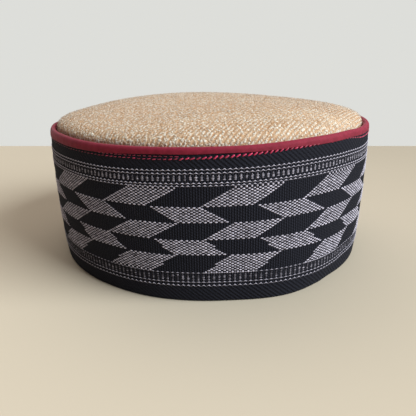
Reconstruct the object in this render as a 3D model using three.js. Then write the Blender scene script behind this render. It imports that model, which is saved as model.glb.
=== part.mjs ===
// A himachali cap: a domed wool crown whose side stands inside a stiff brocade band with a bound upper edge.
// Units are millimetres and +Z is up. The origin is the middle of the ring that the cap rests on, and the
// front of the cap faces -Y. Angles run round the cap from the front towards +X.

import * as THREE from 'three';

// Sizes of the band
const baseRadius = 95.5; // outside of the band where it rests
const topFlare = 2.3; // how much wider the band is at its upper edge
const sideBulge = 1.24; // how far the band swells past a straight line at half height
const bandHeight = 78.2; // from the surface it rests on to the top of the binding
const brocadeThickness = 2.4; // woven band with its backing
const hemThickness = 1.6; // cloth turned in under the wool side
const hemFold = 1.2; // outer radius of the fold at the band's foot
const pressedThickness = 1.0; // brocade pressed flat inside the binding

// Sizes of the binding
const bindingThickness = 1.0;
const bindingDepth = 3.5; // how far it reaches down both faces of the band
const bindingProud = 0.3; // how far it stands out from the band's outer face

// Sizes of the wool crown
const woolThickness = 2.2;
const crownRise = 13.3; // from the crown's edge to its middle
const crownSink = 0.2; // the crown's edge lies this far below the top of the binding
const crownCrevice = 0.85; // open gap between the crown and the inside of the binding
const shoulderPower = 0.87; // 1 is a plain ellipse, less is a fuller shoulder
const crownTuck = 3.0; // how far the crown's cloth reaches down past the binding

// Space between one cloth and the next
const clothGap = 0.3;

// How the cap has gone out of round, as shares of its radius
const planWaves = [
  { waves: 2, share: 0.021 },
  { waves: 3, share: -0.0086 },
];

// The right side stands a little higher than the left, as a share of the height
const sidewaysLean = 0.0149;

// Soft swells and hollows of the crown, as shares of its rise
const crownSwells = [
  { waves: 1, acrossShare: -0.075, alongShare: -0.114 },
  { waves: 2, acrossShare: 0.245, alongShare: 0.176 },
  { waves: 3, acrossShare: 0.038, alongShare: 0 },
];

// Fineness of the faceted surfaces
const stepsAround = 60;
const stepsUp = 6;
const stepsOverCrown = 12;
const stepsInFold = 3;
const stepsOverEdge = 6;

// Places that follow from the sizes
const bindingWidth = 2 * bindingThickness + 2 * clothGap + pressedThickness;
const bindingFoot = bandHeight - bindingDepth;
const stepHeight = bindingFoot - clothGap;
const outerBindingRadius = bandRadius(bandHeight) + bindingProud;
const crownRadius = outerBindingRadius - bindingWidth - crownCrevice;
const crownEdgeHeight = bandHeight - crownSink;
const crownTuckFoot = bindingFoot - crownTuck;
const woolInset = brocadeThickness + clothGap;
const headInset = woolInset + woolThickness;

// Outside radius of the band at a height, before the cap goes out of round.
function bandRadius(height) {
  const share = height / bandHeight;
  return baseRadius + topFlare * share + sideBulge * 4 * share * (1 - share);
}

// Points on a face that follows the band at an inset from its outside, from one height to another.
function facePoints(inset, from, to, steps) {
  const points = [];
  for (let step = 0; step <= steps; step += 1) {
    const height = from + ((to - from) * step) / steps;
    points.push(new THREE.Vector2(bandRadius(height) - inset, height));
  }
  return points;
}

// Points on an arc in the profile's plane, with angles in quarter turns from outwards towards up.
function arcPoints(centreRadius, centreHeight, radius, fromQuarter, toQuarter, steps) {
  const points = [];
  for (let step = 0; step <= steps; step += 1) {
    const quarter = fromQuarter + ((toQuarter - fromQuarter) * step) / steps;
    const angle = (quarter * Math.PI) / 2;
    const along = centreRadius + radius * Math.cos(angle);
    points.push(new THREE.Vector2(along, centreHeight + radius * Math.sin(angle)));
  }
  return points;
}

// Points over a dome, from its middle out to its edge: sine of the angle outwards, a power of its cosine up.
function domePoints(radius, edgeHeight, rise) {
  const points = [];
  for (let step = 0; step <= stepsOverCrown; step += 1) {
    const angle = ((Math.PI / 2) * step) / stepsOverCrown;
    const lift = rise * Math.cos(angle) ** shoulderPower;
    points.push(new THREE.Vector2(radius * Math.sin(angle), edgeHeight + lift));
  }
  return points;
}

// How far out of round the cap is at an angle, as a factor on its radius.
function planFactor(angle) {
  return planWaves.reduce((factor, row) => factor + row.share * Math.sin(row.waves * angle), 1);
}

// How far the crown swells up at a share of its radius and an angle. It is nothing at the edge.
function crownSwell(share, angle) {
  if (share >= 1) {
    return 0;
  }
  let swell = 0;
  for (const row of crownSwells) {
    const turn = row.waves * angle;
    const strength = row.acrossShare * Math.sin(turn) + row.alongShare * Math.cos(turn);
    swell += strength * share ** row.waves * (1 - share ** 2);
  }
  return crownRise * swell;
}

// Turns a profile of (radius, height) points round the cap's axis, then gives it the cap's plan and lean.
// Profiles run up their outer face and down their inner face.
function turnedCloth(profile, swellAt) {
  const geometry = new THREE.LatheGeometry(profile, stepsAround);
  geometry.rotateX(Math.PI / 2);
  const position = geometry.getAttribute('position');
  for (let index = 0; index < position.count; index += 1) {
    const x = position.getX(index);
    const y = position.getY(index);
    const z = position.getZ(index);
    const angle = Math.atan2(x, -y);
    const radius = Math.hypot(x, y);
    const factor = planFactor(angle);
    const lean = sidewaysLean * z * Math.sin(angle) * Math.min(radius / crownRadius, 1);
    const swell = swellAt ? swellAt(radius / crownRadius, angle) : 0;
    position.setXYZ(index, x * factor, y * factor, z + lean + swell);
  }
  geometry.computeVertexNormals();
  return geometry;
}

function closed(points) {
  return [...points, points[0].clone()];
}

// The band: a tall flared wall, a rounded foot, a hem turned in under the wool, and a thin pressed upper edge.
function brocadeBand() {
  const foldCentre = bandRadius(0) - hemFold;
  const pressedInset = bindingThickness + clothGap - bindingProud;
  const pressedTop = bandHeight - bindingThickness - clothGap;
  const pressedMiddle = bandRadius(bandHeight) - pressedInset - pressedThickness / 2;
  const roundOver = pressedThickness / 2;
  return turnedCloth(closed([
    ...arcPoints(foldCentre, hemFold, hemFold, -1, 0, stepsInFold),
    ...facePoints(0, hemFold, stepHeight, stepsUp).slice(1),
    new THREE.Vector2(bandRadius(stepHeight) - pressedInset, stepHeight),
    ...arcPoints(pressedMiddle, pressedTop - roundOver, roundOver, 0, 2, stepsInFold),
    new THREE.Vector2(bandRadius(stepHeight) - pressedInset - pressedThickness, stepHeight),
    ...facePoints(brocadeThickness, stepHeight, hemThickness, stepsUp),
    new THREE.Vector2(bandRadius(0) - headInset, hemThickness),
    new THREE.Vector2(bandRadius(0) - headInset, 0),
  ]));
}

// The binding: a strip folded over the band's edge, with a rounded top and a leg down each face.
function edgeBinding() {
  const outerRound = bindingWidth / 2;
  const middle = outerBindingRadius - outerRound;
  const innerRound = outerRound - bindingThickness;
  const legShift = bandRadius(bandHeight) - bandRadius(bindingFoot);
  return turnedCloth(closed([
    new THREE.Vector2(middle + outerRound - legShift, bindingFoot),
    ...arcPoints(middle, bandHeight - outerRound, outerRound, 0, 2, stepsOverEdge),
    new THREE.Vector2(middle - outerRound - legShift, bindingFoot),
    new THREE.Vector2(middle - innerRound - legShift, bindingFoot),
    ...arcPoints(middle, bandHeight - outerRound, innerRound, 2, 0, stepsInFold + 1),
    new THREE.Vector2(middle + innerRound - legShift, bindingFoot),
  ]));
}

// The crown: a domed disc whose edge turns down inside the binding and then out towards the band.
function crownTop() {
  const innerRadius = crownRadius - woolThickness;
  const footRadius = bandRadius(crownTuckFoot) - woolInset;
  return turnedCloth([
    ...domePoints(innerRadius, crownEdgeHeight, crownRise - woolThickness),
    new THREE.Vector2(innerRadius, stepHeight),
    new THREE.Vector2(footRadius - woolThickness, crownTuckFoot),
    new THREE.Vector2(footRadius, crownTuckFoot),
    new THREE.Vector2(crownRadius, stepHeight),
    ...domePoints(crownRadius, crownEdgeHeight, crownRise).reverse(),
  ], crownSwell);
}

// The side of the wool cap, between the hem and the crown's tucked edge.
function crownSide() {
  const foot = hemThickness + clothGap;
  const top = crownTuckFoot - clothGap;
  return turnedCloth(closed([
    ...facePoints(woolInset, foot, top, stepsUp),
    ...facePoints(headInset, top, foot, stepsUp),
  ]));
}

function cloth(name, geometry, color, roughness) {
  const material = new THREE.MeshStandardMaterial({ color, roughness, metalness: 0 });
  const mesh = new THREE.Mesh(geometry, material);
  mesh.name = name;
  return mesh;
}

const cap = new THREE.Group();
cap.add(cloth('crown_top', crownTop(), 0xb9ab93, 0.95));
cap.add(cloth('crown_side', crownSide(), 0xb9ab93, 0.95));
cap.add(cloth('brocade_band', brocadeBand(), 0x34353c, 0.8));
cap.add(cloth('edge_binding', edgeBinding(), 0x7c2630, 0.7));

export default cap;
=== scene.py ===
"""A himachali cap on a pale floor: a wool crown inside a woven band whose upper edge is bound in red.

Sizes are millimetres, and meshes are scaled to metres as they are made. Angles run round the cap from the
front, which faces -Y, towards +X. A face of the cap is described by three lengths: across (along the face,
to the right), up (along the face, at right angles to across) and proud (out of the face).
"""

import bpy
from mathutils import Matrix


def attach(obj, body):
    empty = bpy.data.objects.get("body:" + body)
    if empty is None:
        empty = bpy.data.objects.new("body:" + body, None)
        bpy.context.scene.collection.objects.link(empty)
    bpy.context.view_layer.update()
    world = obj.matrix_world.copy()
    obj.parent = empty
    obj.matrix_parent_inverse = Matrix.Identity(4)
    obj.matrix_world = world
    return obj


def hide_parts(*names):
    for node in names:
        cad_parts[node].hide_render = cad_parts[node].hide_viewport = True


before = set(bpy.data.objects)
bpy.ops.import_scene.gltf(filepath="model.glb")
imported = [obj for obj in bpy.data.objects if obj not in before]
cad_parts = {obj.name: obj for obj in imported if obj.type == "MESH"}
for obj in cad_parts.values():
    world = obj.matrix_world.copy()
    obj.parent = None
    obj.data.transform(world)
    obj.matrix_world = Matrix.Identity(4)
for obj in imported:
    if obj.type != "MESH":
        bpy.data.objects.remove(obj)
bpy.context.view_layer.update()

import logging
import math
from collections.abc import Callable
from dataclasses import dataclass, field
from enum import Enum

import bmesh
import bpy
import numpy as np
from mathutils import Matrix, Vector

LOG = logging.getLogger("cap")
MM = 0.001
TURN = 2 * math.pi
BODY = "root"
WEAVE_MAP = "weave"
BAKE_MAP = "OFBake"
TINT = "tint"

# Shares of the bake map: each half's height, and where the upper half starts
BAKE_HALF = 0.49
BAKE_UPPER = 0.51

# Points nearer to one another than this are merged, in metres
TOUCHING = 1e-7

# Pitches that a finish shares with its pieces, and the slope of the wool's ribs
PICK_PITCH = 0.718
RIB_PITCH = 2.1
RIB_DEG = 61.0

Lay = Callable[[np.ndarray, np.ndarray, np.ndarray], np.ndarray]


class Slot(Enum):
    """The record's material slots."""

    WOOL = "crown_wool"
    BROCADE = "brocade"
    BINDING = "red_binding"


class Lean(Enum):
    """Which way the sides of the check's cells lean in a row, as the way they move going down."""

    SLASH = -1
    BACKSLASH = 1


def eased(value: np.ndarray, start: float, end: float) -> np.ndarray:
    """A smooth step from 0 at start to 1 at end: three squares less two cubes of the share between them."""
    share = np.clip((value - start) / (end - start), 0, 1)
    return share**2 * (3 - 2 * share)


def degrees_of(angle: np.ndarray) -> np.ndarray:
    """Angles in degrees, from -180 at the back over 0 at the front to 180."""
    return (np.degrees(angle) + 180) % 360 - 180


@dataclass(frozen=True)
class Stretch:
    """A stretch round the cap that eases in and out again, in degrees from the front towards +X."""

    in_start: float
    in_end: float
    out_start: float
    out_end: float
    drop: float = 1.0

    def share(self, degrees: np.ndarray, early: np.ndarray | float = 0.0) -> np.ndarray:
        """From 0 to 1 where it eases in, less the drop where it eases out, early degrees sooner."""
        begun = eased(degrees, self.in_start, self.in_end)
        return begun - self.drop * eased(degrees + early, self.out_start, self.out_end)


@dataclass(frozen=True)
class Jitter:
    """How far copies differ, as standard deviations: places in millimetres, sizes as shares."""

    across: float = 0.0
    up: float = 0.0
    proud: float = 0.0
    length: float = 0.0
    width: float = 0.0
    height: float = 0.0
    tint: float = 0.0


# The form that every piece is laid on

@dataclass(frozen=True)
class CapForm:
    """The cap's form: the sizes of the solids, and the small pushes and lifts that only the cloth has."""

    base_radius: float = 95.5
    top_flare: float = 2.3
    side_bulge: float = 1.24
    band_height: float = 78.2
    crown_radius: float = 93.65
    crown_edge: float = 78.0
    crown_rise: float = 13.3
    shoulder_power: float = 0.87
    tuck_foot: float = 71.7
    tuck_out: float = 1.0
    wool_thickness: float = 2.2
    sideways_lean: float = 0.0149
    plan_waves: tuple[tuple[int, float], ...] = ((2, 0.021), (3, -0.0086))
    crown_swells: tuple[tuple[int, float, float], ...] = (
        (1, -0.075, -0.114),
        (2, 0.245, 0.176),
        (3, 0.038, 0.0),
    )
    foot_push: float = 1.0
    foot_stretch: Stretch = Stretch(-36, -14, 44, 52)
    corner_push: float = 2.4
    corner_stretch: Stretch = Stretch(4, 24, 31, 49)
    corner_turn_deg: float = 7.5
    corner_turn_height: float = 12.0
    push_heights: tuple[float, float] = (5.0, 64.0)
    left_lift: float = 1.1
    left_stretch: Stretch = Stretch(-105, -80, -62, -30)
    right_lift: float = 0.85
    right_stretch: Stretch = Stretch(10, 34, 46, 58)
    lift_power: int = 3
    profile_samples: int = 400

    def pushed(self, height: np.ndarray, angle: np.ndarray) -> np.ndarray:
        """How far the band's foot is pushed out along the front, most of all at the front right.

        Close to the floor its corner lies a little further to the left.

        Args:
            height: Heights above the floor.
            angle: Angles from the front towards +X.

        Returns:
            Extra radii, which die away towards the upper edge.
        """
        degrees = degrees_of(angle)
        early = self.corner_turn_deg * (1 - eased(height, 0, self.corner_turn_height))
        front = self.foot_push * self.foot_stretch.share(degrees, early)
        corner = self.corner_push * self.corner_stretch.share(degrees, early)
        return (front + corner) * (1 - eased(height, *self.push_heights))

    def lifted(self, height: np.ndarray, angle: np.ndarray) -> np.ndarray:
        """How far the upper edge waves up on either side of the front.

        Args:
            height: Heights above the floor.
            angle: Angles from the front towards +X.

        Returns:
            Extra heights, which grow with a power of the height.
        """
        degrees = degrees_of(angle)
        left = self.left_lift * self.left_stretch.share(degrees)
        right = self.right_lift * self.right_stretch.share(degrees)
        return (left + right) * (height / self.band_height) ** self.lift_power

    def band_radius(self, height: np.ndarray) -> np.ndarray:
        """Outside radius of the band: a straight flare with a parabola's bulge on it.

        Args:
            height: Heights above the floor.

        Returns:
            Radii before the cap goes out of round.
        """
        share = np.asarray(height) / self.band_height
        return self.base_radius + self.top_flare * share + self.side_bulge * 4 * share * (1 - share)

    def point(self, radius: np.ndarray, height: np.ndarray, angle: np.ndarray) -> np.ndarray:
        """Turns radius, height and angle into a place on the cap.

        The radius is scaled by one plus a few sine waves of the angle. The height grows towards the right by
        a share of itself times the sine of the angle. The foot is pushed out and the edge lifted a little.

        Args:
            radius: Distances from the axis.
            height: Heights above the floor.
            angle: Angles from the front towards +X.

        Returns:
            Places as an array whose last axis holds x, y and z.
        """
        plan = 1 + sum(share * np.sin(waves * angle) for waves, share in self.plan_waves)
        inward = np.minimum(radius / self.crown_radius, 1)
        lift = (self.sideways_lean * height * np.sin(angle) + self.lifted(height, angle)) * inward
        reach = radius * plan + self.pushed(height, angle) * inward
        x = reach * np.sin(angle)
        y = -reach * np.cos(angle)
        return np.stack(np.broadcast_arrays(x, y, height + lift), axis=-1)

    def on_band(self, across: np.ndarray, up: np.ndarray, proud: np.ndarray) -> np.ndarray:
        """Lays band lengths on the band's outer face, with across measured round the foot's circle.

        Args:
            across: Lengths round the band from the front.
            up: Heights above the floor.
            proud: Lengths out of the face.

        Returns:
            Places on the cap.
        """
        return self.point(self.band_radius(up) + proud, up, across / self.base_radius)

    def crown_profile(self) -> tuple[np.ndarray, np.ndarray, np.ndarray]:
        """The crown's outer profile from its middle out over the edge and down inside the binding.

        The dome's radius is the sine of an angle and its rise a power of the cosine. Then it goes straight
        down to the tuck's foot, and a little outwards.

        Returns:
            Radii, heights and the length along the profile at each point.
        """
        turn = np.linspace(0, math.pi / 2, self.profile_samples)
        rise = self.crown_rise * np.clip(np.cos(turn), 0, 1) ** self.shoulder_power
        radius = np.append(self.crown_radius * np.sin(turn), self.crown_radius + self.tuck_out)
        height = np.append(self.crown_edge + rise, self.tuck_foot)
        steps = np.hypot(np.diff(radius), np.diff(height))
        return radius, height, np.append(0, np.cumsum(steps))

    def swell(self, radius: np.ndarray, angle: np.ndarray) -> np.ndarray:
        """How far the crown swells up: waves of the angle that vanish at the middle and at the edge.

        Args:
            radius: Distances from the axis.
            angle: Angles from the front towards +X.

        Returns:
            Extra heights.
        """
        share = np.minimum(radius / self.crown_radius, 1)
        swells = (
            share**waves
            * (1 - share**2)
            * (sideways * np.sin(waves * angle) + along * np.cos(waves * angle))
            for waves, sideways, along in self.crown_swells
        )
        return self.crown_rise * sum(swells)

    def on_crown(self, across: np.ndarray, up: np.ndarray, proud: np.ndarray) -> np.ndarray:
        """Lays flat cloth over the crown, so that lengths from its middle are kept along the profile.

        Args:
            across: Lengths to the right of the crown's middle on the flat cloth.
            up: Lengths behind the crown's middle on the flat cloth.
            proud: Lengths out of the cloth.

        Returns:
            Places on the cap.
        """
        across, up, proud = np.broadcast_arrays(across, up, proud)
        radius, height, length = self.crown_profile()
        slope_out = np.gradient(radius, length)
        slope_up = np.gradient(height, length)
        reach = np.hypot(across, up)
        angle = np.arctan2(across, -up)
        at_radius = np.interp(reach, length, radius) - proud * np.interp(reach, length, slope_up)
        at_height = np.interp(reach, length, height) + proud * np.interp(reach, length, slope_out)
        places = self.point(at_radius, at_height, angle)
        places[..., 2] += self.swell(at_radius, angle)
        return places


# Meshes from arrays

def make_object(
    name: str,
    points: np.ndarray,
    faces: np.ndarray,
    maps: dict[str, np.ndarray],
    tints: np.ndarray | None = None,
) -> bpy.types.Object:
    """Puts arrays into a smooth mesh object at the origin.

    Args:
        name: The piece's name.
        points: Places in millimetres, one row each.
        faces: Vertex numbers, one row a face, all with as many corners.
        maps: UV maps by name, with one pair for each corner of each face.
        tints: One number for each point, from 0 to 1, or None.

    Returns:
        The new object, linked to the scene.
    """
    mesh = bpy.data.meshes.new(name)
    mesh.vertices.add(len(points))
    mesh.vertices.foreach_set("co", (points * MM).astype(np.float32).ravel())
    mesh.loops.add(faces.size)
    mesh.loops.foreach_set("vertex_index", faces.astype(np.int32).ravel())
    mesh.polygons.add(len(faces))
    mesh.polygons.foreach_set("loop_start", np.arange(0, faces.size, faces.shape[1], dtype=np.int32))
    mesh.update(calc_edges=True)
    mesh.polygons.foreach_set("use_smooth", np.ones(len(faces), dtype=bool))
    for map_name, pairs in maps.items():
        layer = mesh.uv_layers.new(name=map_name)
        layer.data.foreach_set("uv", pairs.astype(np.float32).ravel())
    if tints is not None:
        attribute = mesh.attributes.new(TINT, "FLOAT", "POINT")
        attribute.data.foreach_set("value", tints.astype(np.float32))
    piece = bpy.data.objects.new(name, mesh)
    bpy.context.scene.collection.objects.link(piece)
    return piece


def grid_faces(rows: int, columns: int, close_rows: bool) -> tuple[np.ndarray, np.ndarray]:
    """Four-cornered faces of a grid whose columns go round and meet.

    Args:
        rows: How many rows of points.
        columns: How many points in a row.
        close_rows: Whether the last row also meets the first.

    Returns:
        Faces as vertex numbers, and for each corner its row and column counted on past the seams.
    """
    last = rows if close_rows else rows - 1
    row, column = np.meshgrid(np.arange(last), np.arange(columns), indexing="ij")
    corner_rows = np.stack([row, row, row + 1, row + 1], axis=-1).reshape(-1, 4)
    corner_columns = np.stack([column, column + 1, column + 1, column], axis=-1).reshape(-1, 4)
    faces = (corner_rows % rows) * columns + corner_columns % columns
    return faces, np.stack([corner_rows, corner_columns], axis=-1)


def merge_doubles(piece: bpy.types.Object) -> None:
    """Closes the poles of a piece by merging the points that lie on one another.

    Args:
        piece: The piece, whose mesh is changed.
    """
    edit = bmesh.new()
    edit.from_mesh(piece.data)
    bmesh.ops.remove_doubles(edit, verts=edit.verts, dist=TOUCHING)
    edit.to_mesh(piece.data)
    edit.free()


@dataclass(frozen=True)
class Seed:
    """A small closed form that is repeated many times: points in a unit box, and triangles."""

    points: np.ndarray
    faces: np.ndarray

    @staticmethod
    def oval(sides: int = 8, waist: float = 0.72, waist_height: float = 0.68) -> "Seed":
        """A low oval mound: a ring, a smaller ring above it and a top, closed below.

        Args:
            sides: Points in each ring.
            waist: The upper ring's size as a share of the lower one's.
            waist_height: The upper ring's height as a share of the whole.

        Returns:
            A form from -1 to 1 across and up, and from 0 to 1 proud.
        """
        angle = np.arange(sides) * TURN / sides
        ring = np.stack([np.cos(angle), np.sin(angle), np.zeros(sides)], axis=-1)
        upper = ring * waist + np.array([0, 0, waist_height])
        points = np.vstack([ring, upper, [[0, 0, 1]]])
        here = np.arange(sides)
        after = (here + 1) % sides
        lower_side = np.stack([here, after, after + sides], axis=-1)
        upper_side = np.stack([here, after + sides, here + sides], axis=-1)
        top = np.stack([here + sides, after + sides, np.full(sides, 2 * sides)], axis=-1)
        foot = np.stack([np.zeros(sides, int), after, here], axis=-1)[1:-1]
        return Seed(points, np.vstack([lower_side, upper_side, top, foot]))

    @staticmethod
    def capsule(sides: int = 6, rings: int = 4) -> "Seed":
        """A rounded rod that lies across: rings whose size is the square root of a circle's.

        Args:
            sides: Points in each ring.
            rings: Rings between the two ends.

        Returns:
            A form from -1 to 1 across, up and proud.
        """
        along = np.sin(np.linspace(-1, 1, rings + 2)[1:-1] * math.pi / 2)
        size = (1 - along**2) ** 0.25
        angle = np.arange(sides) * TURN / sides
        up = size[:, None] * np.cos(angle)
        proud = size[:, None] * np.sin(angle)
        across = np.broadcast_to(along[:, None], up.shape)
        middle = np.stack([across, up, proud], axis=-1).reshape(-1, 3)
        points = np.vstack([middle, [[-1, 0, 0], [1, 0, 0]]])
        quads, _ = grid_faces(rings, sides, False)
        quads = quads[:, ::-1]
        here = np.arange(sides)
        after = (here + 1) % sides
        start = np.stack([np.full(sides, rings * sides), after, here], axis=-1)
        last = (rings - 1) * sides
        end = np.stack([here + last, after + last, np.full(sides, rings * sides + 1)], axis=-1)
        triangles = np.vstack([quads[:, [0, 1, 2]], quads[:, [0, 2, 3]], start[:, ::-1], end[:, ::-1]])
        return Seed(points, triangles)

    @staticmethod
    def needle() -> "Seed":
        """A spike with a triangle for its foot.

        Returns:
            A form from 0 at its foot to 1 at its tip across, and from -1 to 1 up and proud.
        """
        angle = np.arange(3) * TURN / 3
        ring = np.stack([np.zeros(3), np.cos(angle), np.sin(angle)], axis=-1)
        points = np.vstack([ring, [[1, 0, 0]]])
        return Seed(points, np.array([[0, 1, 3], [1, 2, 3], [2, 0, 3], [2, 1, 0]]))


@dataclass(frozen=True)
class Scatter:
    """Where copies of a seed go on a face. Each field has one value for each copy."""

    across: np.ndarray
    up: np.ndarray
    proud: np.ndarray
    length: np.ndarray
    width: np.ndarray
    height: np.ndarray
    lean: np.ndarray
    tint: np.ndarray
    rise: np.ndarray | float = 0.0
    # How much painted shade darkens each copy towards its foot
    rim_shade: float = 0.0

    def build(self, name: str, seed: Seed, lay: Lay) -> bpy.types.Object:
        """Makes one mesh of all the copies.

        Each copy is scaled, turned by its lean in the plane of the face, lifted by its rise along its own
        length, moved to its place, and laid on the cap.

        Args:
            name: The piece's name.
            seed: The form that is repeated.
            lay: Puts across, up and proud on the cap.

        Returns:
            The joined object.
        """
        count = len(self.across)
        x = seed.points[None, :, 0] * self.length[:, None]
        y = seed.points[None, :, 1] * self.width[:, None]
        z = seed.points[None, :, 2] * self.height[:, None]
        cosine = np.cos(self.lean)[:, None]
        sine = np.sin(self.lean)[:, None]
        across = self.across[:, None] + x * cosine - y * sine
        up = self.up[:, None] + x * sine + y * cosine
        lift = np.broadcast_to(self.rise, count)[:, None] * x
        points = lay(across, up, self.proud[:, None] + z + lift).reshape(-1, 3)
        size = len(seed.points)
        faces = (np.arange(count)[:, None, None] * size + seed.faces[None]).reshape(-1, 3)
        # Painted shade: each copy is darker towards its foot by rim_shade, as if shaded where it meets the
        # cloth
        tints = (self.tint[:, None] - self.rim_shade * (1 - seed.points[None, :, 2])).ravel()
        return make_object(name, points, faces, {BAKE_MAP: self.bake_map(seed, across, up)}, tints)

    def bake_map(self, seed: Seed, across: np.ndarray, up: np.ndarray) -> np.ndarray:
        """A map laid out as the cloth is, with the faces that point into it in a second half above.

        Args:
            seed: The form that is repeated.
            across: Each copy's points across, one row a copy.
            up: Each copy's points up.

        Returns:
            Pairs from 0 to 1, one for each corner of each face.
        """
        u = (across - across.min()) / (across.max() - across.min())
        v = (up - up.min()) / (up.max() - up.min())
        corners = np.stack([u[:, seed.faces], v[:, seed.faces]], axis=-1)
        flat = seed.points[seed.faces]
        edges = flat[:, 1:] - flat[:, :1]
        inward = edges[:, 0, 0] * edges[:, 1, 1] - edges[:, 0, 1] * edges[:, 1, 0] < 0
        corners[..., 1] = corners[..., 1] * BAKE_HALF + BAKE_UPPER * inward[None, :, None]
        return corners.reshape(-1, 3, 2)


def turned_piece(
    name: str,
    radius: np.ndarray,
    height: np.ndarray,
    steps: int,
    place: Lay,
    weave: Callable[[np.ndarray, np.ndarray], np.ndarray],
    closed: bool = True,
) -> bpy.types.Object:
    """Carries a profile round the cap's axis, up its outer face and down its inner one.

    Args:
        name: The piece's name.
        radius: The profile's radii.
        height: The profile's heights.
        steps: Points round the cap.
        place: Puts radius, height and angle on the cap.
        weave: Gives the weave's pair from a share of a turn and a number along the profile.
        closed: Whether the profile's end meets its start.

    Returns:
        The new object, with a weave map and a map to bake on.
    """
    angle = np.arange(steps) * TURN / steps - math.pi
    points = place(radius[:, None], height[:, None], angle[None, :])
    faces, corners = grid_faces(len(radius), steps, closed)
    share = corners[..., 1] / steps
    rows = len(radius) if closed else len(radius) - 1
    maps = {
        WEAVE_MAP: weave(share, corners[..., 0]),
        BAKE_MAP: np.stack([share, corners[..., 0] / rows], axis=-1),
    }
    return make_object(name, points.reshape(-1, 3), faces, maps)


def arc(
    centre_radius: float, centre_height: float, size: float, start_deg: float, end_deg: float, steps: int
) -> tuple[np.ndarray, np.ndarray]:
    """Points on an arc in the profile's plane, with angles from outwards towards up.

    Args:
        centre_radius: The centre's distance from the axis.
        centre_height: The centre's height.
        size: The arc's own radius.
        start_deg: Angle of its first point.
        end_deg: Angle of its last point.
        steps: Spaces between its points.

    Returns:
        Radii and heights.
    """
    turn = np.radians(np.linspace(start_deg, end_deg, steps + 1))
    return centre_radius + size * np.cos(turn), centre_height + size * np.sin(turn)


def dress(piece: bpy.types.Object, finish: bpy.types.Material, slot: Slot, *nodes: str) -> None:
    """Gives a piece its finish, ties it to the cap and reports it.

    Args:
        piece: The new piece.
        finish: Its material.
        slot: The record's slot that the material stands for; not used.
        nodes: Solids that the piece replaces.
    """
    piece.data.materials.append(finish)
    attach(piece, BODY)
    if nodes:
        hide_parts(*nodes)
    LOG.info("%s: %d faces", piece.name, len(piece.data.polygons))


# Shader maths

Value = "Wire | float"


class Wire:
    """An output of a node. Arithmetic on it adds Math nodes."""

    def __init__(self, board: "NodeBoard", socket: bpy.types.NodeSocket) -> None:
        """Keeps the socket and the board that new nodes go on."""
        self.board = board
        self.socket = socket

    def math(self, operation: str, *terms: Value) -> "Wire":
        """Adds a Math node on these terms."""
        return self.board.add("ShaderNodeMath", {"operation": operation}, dict(enumerate(terms)))

    def __add__(self, other: Value) -> "Wire":
        """This plus the other."""
        return self.math("ADD", self, other)

    def __radd__(self, other: Value) -> "Wire":
        """The other plus this."""
        return self.math("ADD", other, self)

    def __sub__(self, other: Value) -> "Wire":
        """This less the other."""
        return self.math("SUBTRACT", self, other)

    def __rsub__(self, other: Value) -> "Wire":
        """The other less this."""
        return self.math("SUBTRACT", other, self)

    def __mul__(self, other: Value) -> "Wire":
        """This times the other."""
        return self.math("MULTIPLY", self, other)

    def __rmul__(self, other: Value) -> "Wire":
        """The other times this."""
        return self.math("MULTIPLY", other, self)

    def wave(self) -> "Wire":
        """A sine of this as a count of turns, from 0 to 1."""
        return (self * TURN).math("SINE", self * TURN) * 0.5 + 0.5

    def step(self, low: float, high: float) -> "Wire":
        """A smooth step from 0 at low to 1 at high."""
        values = {"Value": self, "From Min": low, "From Max": high}
        return self.board.add("ShaderNodeMapRange", {"interpolation_type": "SMOOTHSTEP"}, values)


class NodeBoard:
    """A node tree, with the one method that adds any node to it."""

    def __init__(self, tree: bpy.types.NodeTree) -> None:
        """Takes the tree and empties it."""
        self.tree = tree
        self.tree.nodes.clear()

    def add(
        self,
        kind: str,
        settings: dict[str, object] | None = None,
        values: dict[str | int, object] | None = None,
        output: int | str = 0,
    ) -> Wire:
        """Adds a node.

        Args:
            kind: The node's type.
            settings: What is set on the node first, by name.
            values: What its inputs are given, a Wire or a value each, by name or number.
            output: Which of its outputs is handed back.

        Returns:
            That output.
        """
        node = self.tree.nodes.new(kind)
        for name, setting in (settings or {}).items():
            setattr(node, name, setting)
        for key, value in (values or {}).items():
            socket = node.inputs[key]
            if isinstance(value, Wire):
                self.tree.links.new(value.socket, socket)
            elif socket.type == "RGBA":
                socket.default_value = (*value, 1.0)
            else:
                socket.default_value = value
        return Wire(self, node.outputs[output] if node.outputs else None)

    def blend(self, share: Value, low: object, high: object) -> Wire:
        """A colour between low and high, through a Mix node."""
        return self.add("ShaderNodeMix", {"data_type": "RGBA"}, {0: share, 6: low, 7: high}, 2)

    def split(self, vector: Wire) -> tuple[Wire, Wire, Wire]:
        """Parts a vector.

        Args:
            vector: The vector.

        Returns:
            Its three numbers.
        """
        first = self.add("ShaderNodeSeparateXYZ", {}, {0: vector})
        outputs = first.socket.node.outputs
        return first, Wire(self, outputs[1]), Wire(self, outputs[2])

    def noise(self, vector: Wire, scale: float, detail: float = 2.0) -> Wire:
        """Noise from 0 to 1 at a vector."""
        return self.add("ShaderNodeTexNoise", {}, {"Vector": vector, "Scale": scale, "Detail": detail})

    def weave(self) -> tuple[Wire, Wire, Wire]:
        """Reads the weave map.

        Returns:
            Its two numbers, and the map as a vector.
        """
        place = self.add("ShaderNodeUVMap", {"uv_map": WEAVE_MAP})
        across, up, _ = self.split(place)
        return across, up, place

    def tint(self) -> Wire:
        """Each small part's own number."""
        return self.add("ShaderNodeAttribute", {"attribute_name": TINT}, {}, "Fac")

    def place(self) -> Wire:
        """The place on the piece, in metres."""
        return self.add("ShaderNodeTexCoord", {}, {}, "Object")

    def bump(self, height: Wire, depth: float, strength: float = 1.0) -> Wire:
        """A normal tipped by a height, which goes as deep as depth in metres."""
        values = {"Strength": strength, "Distance": depth, "Height": height}
        return self.add("ShaderNodeBump", {}, values)


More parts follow.
